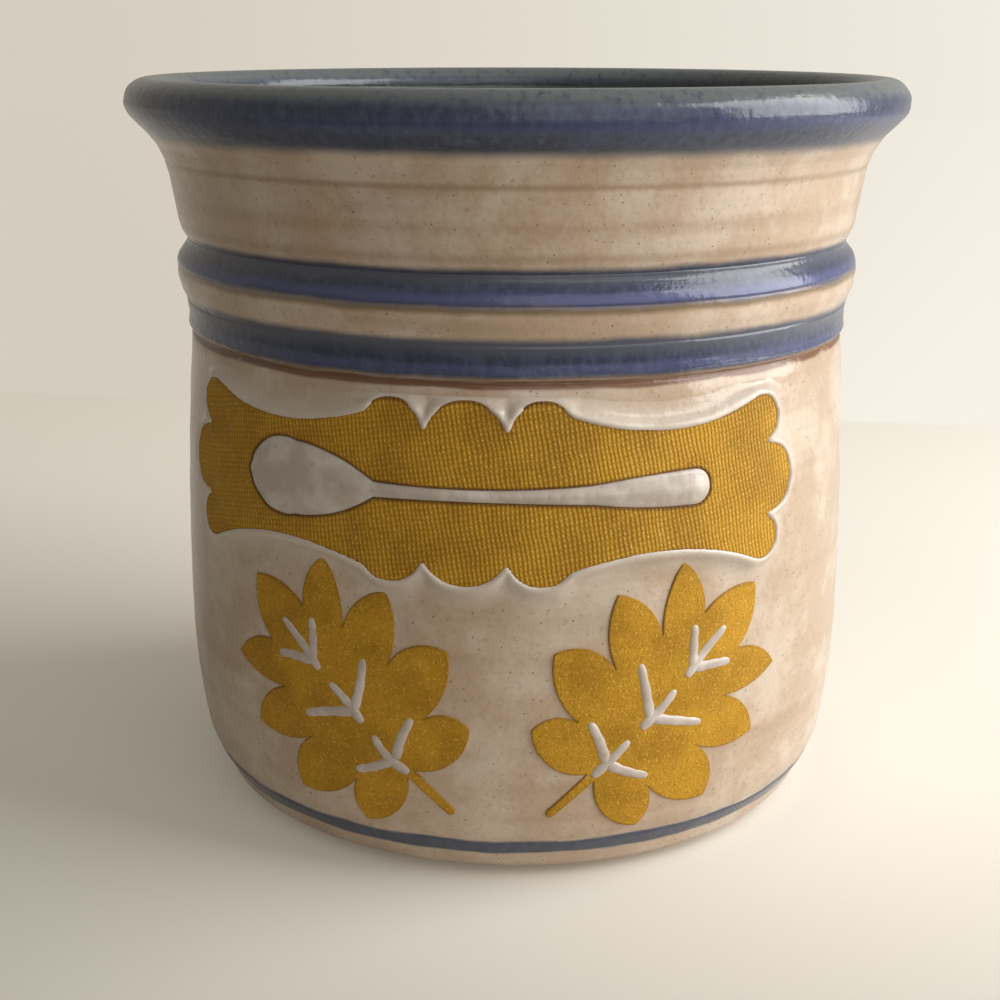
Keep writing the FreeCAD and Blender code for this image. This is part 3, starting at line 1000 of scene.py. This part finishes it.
@dataclass
class Pot:
    """The thrown stoneware pot."""

    wall: Wall
    throwing: Throwing
    steps: int = 192
    wall_low: float = 16 * MM
    wall_high: float = 98.6 * MM
    wall_points: int = 18
    lip_radius: float = 75.2 * MM
    lip_height: float = 145.2 * MM
    lip_round: float = 4.4 * MM
    lip_start: float = math.radians(-34)
    lip_end: float = math.radians(178)
    lip_points: int = 20
    bevel_steps: int = 5
    longest_edge: float = 3.5 * MM
    outline: list[Vector] = field(default_factory=list)

    def draw(self) -> None:
        """Draws the pot's outline from the middle of its underside to the middle of its floor."""
        mesh = bmesh.new()
        self.string(mesh)
        for edge in mesh.edges[:]:
            cuts = int(edge.calc_length() / self.longest_edge)
            if cuts:
                bmesh.ops.subdivide_edges(mesh, edges=[edge], cuts=cuts)
        ends = [vert for vert in mesh.verts if len(vert.link_edges) == 1]
        self.outline = walk(min(ends, key=lambda vert: vert.co.z))
        mesh.free()

    def string(self, mesh: BMesh) -> None:
        """Adds the outline's straight runs and rounds its corners.

        Args:
            mesh: The mesh to add to.
        """
        heights = evenly(self.wall_low, self.wall_high, self.wall_points)
        wall = [Vector((self.wall.radius(height), 0, height)) for height in heights]
        angles = evenly(self.lip_start, self.lip_end, self.lip_points)
        middle = Vector((self.lip_radius, 0, self.lip_height))
        lip = [middle + self.lip_round * Vector((math.cos(angle), 0, math.sin(angle))) for angle in angles]
        points = [*self.places(FOOT), *wall, *self.places(NECK), *lip, *self.places(INSIDE)]
        rounds = [corner.round for corner in FOOT] + [0] * len(wall) + [corner.round for corner in NECK]
        rounds += [0] * len(lip) + [corner.round for corner in INSIDE]
        verts = chain(mesh, points)
        for vert, size in zip(verts, rounds):
            if size:
                bmesh.ops.bevel(
                    mesh, geom=[vert], offset=size * MM, offset_type="OFFSET", segments=self.bevel_steps,
                    profile=0.5, affect="VERTICES", material=-1,
                )

    @staticmethod
    def places(corners: Iterable[Corner]) -> list[Vector]:
        """Corners as points in metres."""
        return [Vector((corner.radius * MM, 0, corner.height * MM)) for corner in corners]

    def turn(self, mesh: BMesh) -> None:
        """Turns the edges of a mesh round the crock's axis, all the way.

        Args:
            mesh: A mesh of edges in the plane through the axis.
        """
        geometry = mesh.verts[:] + mesh.edges[:]
        bmesh.ops.spin(
            mesh, geom=geometry, cent=(0, 0, 0), axis=UP, angle=FULL_TURN, steps=self.steps, use_merge=True,
        )
        weld(mesh)
        self.throwing.settle(mesh)

    def build(self, finish: bpy.types.Material) -> bpy.types.Object:
        """Makes the pot.

        Args:
            finish: Its material.

        Returns:
            The pot's object.
        """
        mesh = bmesh.new()
        chain(mesh, self.outline)
        self.turn(mesh)
        return show("thrown_pot", mesh, finish, Slot.CREAM, "stoneware_pot")

    def run(self, low: float, high: float, inside: float = 0) -> list[Vector]:
        """A stretch of the outline.

        Args:
            low: The height where it starts on the outside.
            high: The height where it ends on the outside.
            inside: The height where it ends inside the mouth instead.

        Returns:
            The outline's points along the stretch.
        """
        crest = max(range(len(self.outline)), key=lambda number: self.outline[number].z)
        outer = [point for point in self.outline[:crest + 1] if low <= point.z <= high]
        inner = [point for point in self.outline[crest + 1:] if inside and point.z >= inside]
        return outer + inner


@dataclass
class BlueCoat:
    """One brushed band of blue, a thin coat that feathers out at its edges."""

    name: str
    node: str
    low: float
    high: float
    inside: float = 0
    coat: float = 0.26 * MM
    sunk_edge: float = 0.03 * MM
    root: float = 0.4 * MM
    feather_power: int = 6

    def build(self, pot: Pot, finish: bpy.types.Material) -> bpy.types.Object:
        """Makes the coat on a pot.

        Args:
            pot: The pot that it lies on.
            finish: Its material.

        Returns:
            The coat's object.
        """
        run = pot.run(self.low, self.high, self.inside)
        top = []
        bottom = []
        for number, point in enumerate(run):
            before = run[max(number - 1, 0)]
            after = run[min(number + 1, len(run) - 1)]
            outward = Vector((0, 1, 0)).cross(after - before).normalized()
            across = 2 * number / (len(run) - 1) - 1
            top.append(point + outward * (self.coat * (1 - across ** self.feather_power) - self.sunk_edge))
            bottom.append(point - outward * self.root)
        mesh = bmesh.new()
        chain(mesh, top + bottom[::-1], closed=True)
        pot.turn(mesh)
        return show(self.name, mesh, finish, Slot.BLUE, self.node)


@dataclass
class Relief:
    """A raised patch on the wall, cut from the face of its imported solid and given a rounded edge."""

    wall: Wall
    throwing: Throwing
    node: str
    foot: float
    top: float
    edge_round: float
    edge_steps: int = 4
    edge_band: float = 0.35 * MM
    grid: float = 2.2 * MM
    face_tolerance: float = 0.12 * MM
    sunk: float = 0.15 * MM
    crown: float = 0
    crown_reach: float = 3.5 * MM

    def border(self) -> BMesh:
        """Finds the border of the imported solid's outer face.

        Returns:
            The border's edges, laid flat.
        """
        mesh = bmesh.new()
        mesh.from_mesh(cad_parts[self.node].data)
        bmesh.ops.remove_doubles(mesh, verts=mesh.verts[:], dist=WELD)
        for vert in mesh.verts:
            vert.co = self.wall.unroll(vert.co)
        floor = max(vert.co.z for vert in mesh.verts) - self.face_tolerance
        low = [face for face in mesh.faces if min(vert.co.z for vert in face.verts) < floor]
        bmesh.ops.delete(mesh, geom=low, context="FACES")
        inner = [edge for edge in mesh.edges if not edge.is_boundary]
        bmesh.ops.delete(mesh, geom=mesh.faces[:], context="FACES_ONLY")
        bmesh.ops.delete(mesh, geom=inner, context="EDGES")
        for vert in mesh.verts:
            vert.co.z = 0
        return mesh

    def loop(self) -> list[Vector]:
        """Finds the patch's outermost outline.

        Returns:
            Its points in order, laid flat.
        """
        mesh = self.border()
        points = walk(min(mesh.verts, key=lambda vert: vert.co.x))
        mesh.free()
        return points

    def raise_up(self) -> BMesh:
        """Gives the patch its thickness and its rounded edge.

        Returns:
            The patch, laid flat, with an "edge" value that is 1 on its border.
        """
        mesh = self.border()
        layer = mesh.verts.layers.float.new("edge")
        bmesh.ops.triangle_fill(mesh, edges=mesh.edges[:], use_beauty=True, normal=UP)
        mesh.normal_update()
        for face in mesh.faces:
            if face.normal.z < 0:
                face.normal_flip()
        raised = bmesh.ops.extrude_face_region(mesh, geom=mesh.faces[:])["geom"]
        faces = [item for item in raised if isinstance(item, BMFace)]
        lifted = [item for item in raised if isinstance(item, BMVert)]
        bmesh.ops.translate(mesh, verts=mesh.verts[:], vec=UP * (self.foot - self.sunk))
        bmesh.ops.translate(mesh, verts=lifted, vec=UP * (self.top - self.edge_round - self.foot + self.sunk))
        mesh.normal_update()
        angles = evenly(0, math.pi / 2, self.edge_steps + 1)
        for before, after in zip(angles, angles[1:]):
            inward = self.edge_round * (math.cos(before) - math.cos(after))
            upward = self.edge_round * (math.sin(after) - math.sin(before))
            bmesh.ops.inset_region(mesh, faces=faces, thickness=inward, depth=upward)
        bmesh.ops.inset_region(mesh, faces=faces, thickness=self.edge_band)
        flat = {vert for face in faces for vert in face.verts}
        for vert in mesh.verts:
            vert[layer] = 0 if vert in flat else 1
        return mesh

    def lay(self, mesh: BMesh) -> None:
        """Cuts a flat mesh into a grid and bends it round the crock.

        Args:
            mesh: The mesh on the unrolled wall.
        """
        for axis in (0, 1):
            places = [vert.co[axis] for vert in mesh.verts]
            across = Vector((0, 0, 0))
            across[axis] = 1
            count = int((max(places) - min(places)) / self.grid)
            for number in range(1, count + 1):
                cut = across * (min(places) + number * self.grid)
                geometry = mesh.verts[:] + mesh.edges[:] + mesh.faces[:]
                bmesh.ops.bisect_plane(mesh, geom=geometry, dist=WELD, plane_co=cut, plane_no=across)
        bmesh.ops.triangulate(mesh, faces=mesh.faces[:])
        if self.crown:
            self.swell(mesh)
        for vert in mesh.verts:
            vert.co = self.wall.wrap(vert.co)
        weld(mesh)
        self.throwing.settle(mesh)

    def swell(self, mesh: BMesh) -> None:
        """Crowns the flat top, most where it is widest.

        Args:
            mesh: The patch on the unrolled wall.
        """
        border = nearest_of(self.loop())
        for vert in mesh.verts:
            if vert.co.z > self.top - WELD:
                distance = border.find(Vector((vert.co.x, vert.co.y, 0)))[2]
                share = min(distance / self.crown_reach, 1)
                vert.co.z += self.crown * math.sin(share * math.pi / 2) ** 2

    def build(self, name: str, finish: bpy.types.Material, slot: Slot) -> bpy.types.Object:
        """Makes the patch.

        Args:
            name: The piece's name.
            finish: Its material.
            slot: The record's slot that it stands for.

        Returns:
            The patch's object.
        """
        mesh = self.raise_up()
        self.lay(mesh)
        return show(name, mesh, finish, slot, self.node)


class Stroke(NamedTuple):
    """A thick line of glaze on the unrolled wall: its points and how full it is at each."""

    points: list[Vector]
    fullness: list[float]
    closed: bool


@dataclass
class GlazeLine:
    """Lines of thick glaze that lie on the wall, swept from one section."""

    relief: Relief
    section: Sequence[tuple[float, float]]

    @staticmethod
    def curve(stroke: Stroke) -> bpy.types.Curve:
        """A stroke as a curve.

        Args:
            stroke: The line.

        Returns:
            A curve whose one spline is the line.
        """
        curve = bpy.data.curves.new("glaze_line", "CURVE")
        curve.dimensions = "3D"
        curve.twist_mode = "Z_UP"
        spline = curve.splines.new("POLY")
        spline.points.add(len(stroke.points) - 1)
        spline.use_cyclic_u = stroke.closed
        for knot, point, fullness in zip(spline.points, stroke.points, stroke.fullness):
            knot.co = (*point, 1)
            knot.radius = fullness
        return curve

    def sweep(self, stroke: Stroke) -> BMesh:
        """Sweeps the section along a stroke.

        Args:
            stroke: The line to lay.

        Returns:
            Its closed mesh on the unrolled wall.
        """
        outline = [Vector((side, up, 0)) for side, up in self.section]
        section = self.curve(Stroke(outline, [1.0] * len(outline), True))
        section_holder = put("glaze_section", section)
        curve = self.curve(stroke)
        curve.bevel_mode = "OBJECT"
        curve.bevel_object = section_holder
        curve.use_fill_caps = True
        holder = put("glaze_line", curve)
        bpy.context.view_layer.update()
        data = bpy.data.meshes.new_from_object(holder.evaluated_get(bpy.context.evaluated_depsgraph_get()))
        mesh = bmesh.new()
        mesh.from_mesh(data)
        bpy.data.objects.remove(holder)
        bpy.data.objects.remove(section_holder)
        bpy.data.curves.remove(curve)
        bpy.data.curves.remove(section)
        bpy.data.meshes.remove(data)
        weld(mesh)
        if mesh.calc_volume(signed=True) < 0:
            bmesh.ops.reverse_faces(mesh, faces=mesh.faces[:])
        return mesh

    def build(self, name: str, strokes: Sequence[Stroke], finish: bpy.types.Material) -> bpy.types.Object:
        """Makes the lines as one piece.

        Args:
            name: The piece's name.
            strokes: The lines to lay.
            finish: Their material.

        Returns:
            The piece's object.
        """
        mesh = bmesh.new()
        for stroke in strokes:
            data = bake("glaze_stroke", self.sweep(stroke))
            mesh.from_mesh(data)
            bpy.data.meshes.remove(data)
        for vert in mesh.verts:
            vert.co = self.relief.wall.wrap(vert.co)
        self.relief.throwing.settle(mesh)
        return show(name, mesh, finish, Slot.WHITE)


@dataclass
class GlazeRamp:
    """The glaze that ran up to the plate's edge and stands round it like a bank."""

    plate: Relief
    reach: float = 6.0 * MM
    overlap: float = 1.1 * MM
    step: float = 0.5 * MM
    sample: float = 0.15 * MM
    crest: float = 2.15 * MM
    inner_drop: float = 2.6 * MM
    bank: float = 1.6 * MM
    tail: float = 3.3 * MM
    tail_share: float = 0.28
    sunk: float = 0.1 * MM
    root: float = 0.4 * MM
    grain: float = 8 * MM
    change: float = 0.16
    pool_power: float = 1.5
    ceiling: float = 97.2 * MM
    ceiling_run: float = 2.5 * MM

    def height(self, gap: float) -> float:
        """How high the glaze stands.

        Args:
            gap: The distance from the plate's edge, negative inside the plate.

        Returns:
            The height above the wall.
        """
        if gap < 0:
            return self.crest - self.inner_drop * (gap / self.overlap) ** 2
        bank = (1 - self.tail_share) * math.exp(-(gap / self.bank) ** 2)
        tail = self.tail_share * math.exp(-(gap / self.tail) ** 2)
        return self.crest * (bank + tail) - self.sunk * gap / self.reach

    def edge(self) -> tuple[kdtree.KDTree, list[Vector]]:
        """The plate's edge as close points.

        Returns:
            A tree of the points, and the outward direction at each.
        """
        loop = self.plate.loop()
        area = sum(one.x * two.y - two.x * one.y for one, two in zip(loop, loop[1:] + loop[:1]))
        points = []
        outwards = []
        for start, stop in zip(loop, loop[1:] + loop[:1]):
            count = int((stop - start).length / self.sample) + 1
            outward = (stop - start).cross(UP).normalized() * math.copysign(1, area)
            for number in range(count):
                points.append(start.lerp(stop, (number + 0.5) / count))
                outwards.append(outward)
        return nearest_of(points), outwards

    def build(self, finish: bpy.types.Material) -> bpy.types.Object:
        """Makes the bank of glaze.

        Args:
            finish: Its material.

        Returns:
            The bank's object, whose "pool" value is 1 at the plate's edge.
        """
        tree, outwards = self.edge()
        mesh = self.sheet()
        pool = mesh.verts.layers.float.new("pool")
        gaps = {}
        for vert in mesh.verts:
            near, number, distance = tree.find(vert.co)
            gaps[vert] = math.copysign(distance, (vert.co - near).dot(outwards[number]))
        spare = [
            vert for vert, gap in gaps.items()
            if vert.co.y > self.ceiling or not -self.overlap < gap < self.reach
        ]
        bmesh.ops.delete(mesh, geom=spare, context="VERTS")
        kept = {vert.co.to_tuple(SAME_PLACE_DIGITS): gaps[vert] for vert in mesh.verts}
        raised = bmesh.ops.extrude_face_region(mesh, geom=mesh.faces[:])["geom"]
        lifted = {item for item in raised if isinstance(item, BMVert)}
        for vert in mesh.verts:
            gap = kept[vert.co.to_tuple(SAME_PLACE_DIGITS)]
            full = 1 + self.change * noise.noise(vert.co / self.grain)
            vert[pool] = min(max(1 - gap / self.reach, 0), 1) ** self.pool_power
            room = min((self.ceiling - vert.co.y) / self.ceiling_run, 1)
            lift = (self.height(gap) * full + self.sunk) * room - self.sunk
            vert.co.z = lift if vert in lifted else -self.root
            vert.co = self.plate.wall.wrap(vert.co)
        weld(mesh)
        self.plate.throwing.settle(mesh)
        return show("plate_glaze_ramp", mesh, finish, Slot.CREAM)

    def sheet(self) -> BMesh:
        """Lays out a fine grid.

        Returns:
            A flat mesh that covers the plate and the bank round it.
        """
        loop = self.plate.loop()
        low = Vector([min(point[axis] for point in loop) - self.reach for axis in range(3)])
        high = Vector([max(point[axis] for point in loop) + self.reach for axis in range(3)])
        half = (high - low) / 2
        counts = [int(2 * half[axis] / self.step) for axis in range(2)]
        mesh = bmesh.new()
        bmesh.ops.create_grid(mesh, x_segments=counts[0], y_segments=counts[1], size=1)
        bmesh.ops.scale(mesh, vec=(half.x, half.y, 1), verts=mesh.verts[:])
        middle = (low + high) / 2
        bmesh.ops.translate(mesh, vec=(middle.x, middle.y, 0), verts=mesh.verts[:])
        return mesh


@dataclass
class NamePlate:
    """The scalloped ochre plate, the glaze banked up round it, and the spoon laid in it."""

    wall: Wall
    throwing: Throwing
    thickness: float = 1.8 * MM
    edge_round: float = 0.3 * MM
    spoon_foot: float = 1.0 * MM
    spoon_top: float = 1.9 * MM
    spoon_crown: float = 0.9 * MM
    spoon_round: float = 0.6 * MM
    spoon_grid: float = 1.1 * MM

    def build(self, ochre: bpy.types.Material, white: bpy.types.Material, glaze: bpy.types.Material) -> None:
        """Makes the plate, the glaze round it and its spoon.

        Args:
            ochre: The plate's material.
            white: The spoon's material.
            glaze: The crock's material.
        """
        plate = Relief(self.wall, self.throwing, "name_plate", 0, self.thickness, self.edge_round)
        plate.build("scalloped_plate", ochre, Slot.PLATE)
        GlazeRamp(plate).build(glaze)
        spoon = Relief(
            self.wall, self.throwing, "spoon_inlay", self.spoon_foot, self.spoon_top, self.spoon_round,
            crown=self.spoon_crown, grid=self.spoon_grid,
        )
        spoon.build("white_spoon", white, Slot.WHITE)


class Side(Enum):
    """Which of the two leaves."""

    LEFT = -1
    RIGHT = 1


@dataclass
class Leaf:
    """A leaf laid on in ochre slip, with veins of white glaze."""

    wall: Wall
    throwing: Throwing
    side: Side
    thickness: float = 0.35 * MM
    edge_round: float = 0.22 * MM
    edge_band: float = 0.25 * MM
    edge_steps: int = 3
    lean: float = math.radians(46)
    stem_share: float = 0.17
    vein_half_width: float = 1.1 * MM
    vein_foot: float = 0.1 * MM
    vein_top: float = 0.74 * MM
    vein_steps: int = 8
    vein_grain: float = 3 * MM
    vein_bow_share: float = 0.3
    vein_shares: tuple[float, ...] = (0, 0.03, 0.09, 0.22, 0.35, 0.52, 0.7, 0.82, 0.92, 0.98, 1)
    vein_fullness: tuple[float, ...] = (0.62, 0.82, 0.95, 1.08, 0.92, 1.0, 0.86, 0.92, 0.78, 0.6, 0.3)
    middle_shares: tuple[tuple[float, float], ...] = ((0.06, 0.25), (0.31, 0.50), (0.56, 0.80))
    branch_shares: tuple[Triple, ...] = (
        (0.13, 0.17, 0.20), (0.36, 0.19, 0.48), (0.60, 0.12, 0.72),
    )

    def build(self, ochre: bpy.types.Material, white: bpy.types.Material) -> None:
        """Makes the leaf and its veins.

        Args:
            ochre: The leaf's material.
            white: The veins' material.
        """
        name = self.side.name.lower()
        leaf = Relief(
            self.wall, self.throwing, f"{name}_leaf", 0, self.thickness, self.edge_round,
            edge_steps=self.edge_steps, edge_band=self.edge_band,
        )
        leaf.build(f"{name}_slip_leaf", ochre, Slot.SLIP)
        rise = self.vein_top - self.vein_foot
        round_top = [
            (self.vein_half_width * math.cos(angle), self.vein_foot + rise * math.sin(angle))
            for angle in evenly(0, math.pi, self.vein_steps + 1)
        ]
        veins = GlazeLine(leaf, round_top)
        veins.build(f"{name}_leaf_veins", self.veins(leaf.loop()), white)

    def veins(self, loop: list[Vector]) -> list[Stroke]:
        """The leaf's veins in broken lines: three along its middle, each with a branch to both hands.

        Args:
            loop: The leaf's outline on the unrolled wall.

        Returns:
            The veins' lines.
        """
        up = Vector((math.sin(self.lean) * self.side.value, math.cos(self.lean), 0))
        across = Vector((up.y, -up.x, 0))
        tip = max(loop, key=lambda point: point.dot(up))
        end = min(loop, key=lambda point: point.dot(up))
        length = (tip - end).dot(up) / (1 + self.stem_share)
        joint = tip - up * length

        def place(sideways: float, along: float) -> Vector:
            """A point of the leaf by its shares of the leaf's length."""
            return joint + across * (sideways * length) + up * (along * length)

        lines = [(place(0, low), place(0, high)) for low, high in self.middle_shares]
        for hand in (-1, 1):
            for start, out, end_share in self.branch_shares:
                lines.append((place(0, start), place(hand * out, end_share)))
        return [self.stroke(start, stop) for start, stop in lines]

    def stroke(self, start: Vector, stop: Vector) -> Stroke:
        """One vein between two points, a little bowed and with rounded ends.

        Args:
            start: Where it starts.
            stop: Where it ends.

        Returns:
            The vein's line.
        """
        bow = (stop - start).cross(UP) * noise.noise(start / self.vein_grain) * self.vein_bow_share
        points = [start.lerp(stop, share) + bow * math.sin(math.pi * share) for share in self.vein_shares]
        return Stroke(points, list(self.vein_fullness), False)


# The studio

class Lamp(NamedTuple):
    """A soft rectangular light: its place, its width, its height and its power in watts."""

    place: Triple
    width: float
    height: float
    power: float


@dataclass
class Studio:
    """The pale sheet, the lights and the camera."""

    sheet_size: float = 3.0
    window: Lamp = Lamp((0.64, 0.0, 0.37), 0.6, 0.66, 7.0)
    room: Lamp = Lamp((0.5, -0.8, 0.5), 1.0, 1.0, 2.6)
    aim: Triple = (0, 0, 0.1)
    ambient: float = 0.25
    backdrop: Paper = Paper()
    camera_distance: float = 342.8 * MM
    camera_height: float = 157.9 * MM
    camera_turn: float = math.radians(7.1)
    camera_pitch: float = math.radians(16.25)
    camera_yaw: float = math.radians(0.54)
    camera_roll: float = math.radians(0.26)
    lens: float = 57.45
    sensor: float = 36.0
    nearest: float = 10 * MM

    def build(self) -> None:
        """Sets up the sheet, the lights and the camera."""
        self.sheet()
        self.light("window", self.window)
        self.light("room", self.room)
        self.world()
        self.camera()
        bpy.context.scene.view_settings.view_transform = "Standard"

    def sheet(self) -> None:
        """The pale sheet under the crock."""
        mesh = bmesh.new()
        bmesh.ops.create_grid(mesh, x_segments=2, y_segments=2, size=self.sheet_size)
        data = bake("pale_sheet", mesh)
        data.materials.append(self.backdrop.material())
        put("pale_sheet", data)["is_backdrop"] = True

    def light(self, name: str, lamp: Lamp) -> None:
        """A soft light that faces the crock.

        Args:
            name: The light's name.
            lamp: Its place, size and power.
        """
        area = bpy.data.lights.new(name, "AREA")
        area.shape = "RECTANGLE"
        area.size = lamp.width
        area.size_y = lamp.height
        area.energy = lamp.power
        holder = put(name, area)
        holder.location = lamp.place
        holder.rotation_mode = "QUATERNION"
        toward = Vector(self.aim) - holder.location
        holder.rotation_quaternion = toward.to_track_quat("-Z", "Y")

    def world(self) -> None:
        """Light from all round, dimmer from the left, and a pale backdrop for the camera and for reflections,
        with painted shade on its left and painted light on its right.
        """
        world = bpy.data.worlds.new("studio")
        world.use_nodes = True
        bpy.context.scene.world = world
        shader = Shader(world.node_tree)
        direction = shader.field("ShaderNodeTexCoord", {}, {}, "Generated")
        across = self.backdrop.toward_light(shader.parts(direction)[0])
        # The backdrop seen by the camera carries painted shade on its left and painted light on its right.
        color = shader.mix(across, self.backdrop.shaded_far_left, self.backdrop.lit_far_right)
        strength = shader.seen() * (1 - self.ambient) + self.ambient
        light = shader.field("ShaderNodeBackground", {}, {"Color": color, "Strength": strength})
        shader.node("ShaderNodeOutputWorld", {}, {"Surface": light})

    def camera(self) -> None:
        """The camera at the photograph's viewing angle."""
        lens = bpy.data.cameras.new("camera")
        lens.lens = self.lens
        lens.sensor_width = self.sensor
        lens.clip_start = self.nearest
        holder = put("camera", lens)
        out = Vector((math.sin(self.camera_turn), -math.cos(self.camera_turn), 0))
        holder.location = out * self.camera_distance + UP * self.camera_height
        ahead = Matrix.Rotation(self.camera_yaw, 3, "Z") @ -out
        look = ahead * math.cos(self.camera_pitch) - UP * math.sin(self.camera_pitch)
        roll = Quaternion((0, 0, 1), self.camera_roll)
        holder.rotation_mode = "QUATERNION"
        holder.rotation_quaternion = look.to_track_quat("-Z", "Y") @ roll
        bpy.context.scene.camera = holder


def corners() -> list[list[float]]:
    """The shown object's lowest and highest corners."""
    return [list(corner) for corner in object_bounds()]


def main() -> None:
    """Builds the crock piece by piece and sets up the studio."""
    logging.basicConfig(level=logging.INFO, format="%(name)s %(message)s")
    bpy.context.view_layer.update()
    glaze = CrockGlaze().material()
    white = WhiteGlaze().material()
    # The leaves' painted shade line along their border is fainter.
    slip = OchreClay("ochre_slip", woven=False, edge_shade=0.45).material()
    cloth_ochre = OchreClay("ochre_plate", woven=True).material()

    wall = Wall()
    throwing = Throwing()
    pot = Pot(wall, throwing)
    pot.draw()
    pot.build(glaze)
    coats = (
        BlueCoat("rim_blue_coat", "rim_blue_band", low=139 * MM, high=160 * MM, inside=144.5 * MM),
        BlueCoat("upper_blue_coat", "upper_blue_band", low=112.6 * MM, high=118.9 * MM),
        BlueCoat("lower_blue_coat", "lower_blue_band", low=100.1 * MM, high=107.2 * MM),
        BlueCoat("base_blue_coat", "base_blue_line", low=6.0 * MM, high=10.0 * MM),
    )
    for coat in coats:
        coat.build(pot, glaze)

    NamePlate(wall, throwing).build(cloth_ochre, white, glaze)
    for side in Side:
        Leaf(wall, throwing, side).build(slip, white)
    Studio().build()


if __name__ == "__main__":
    main()
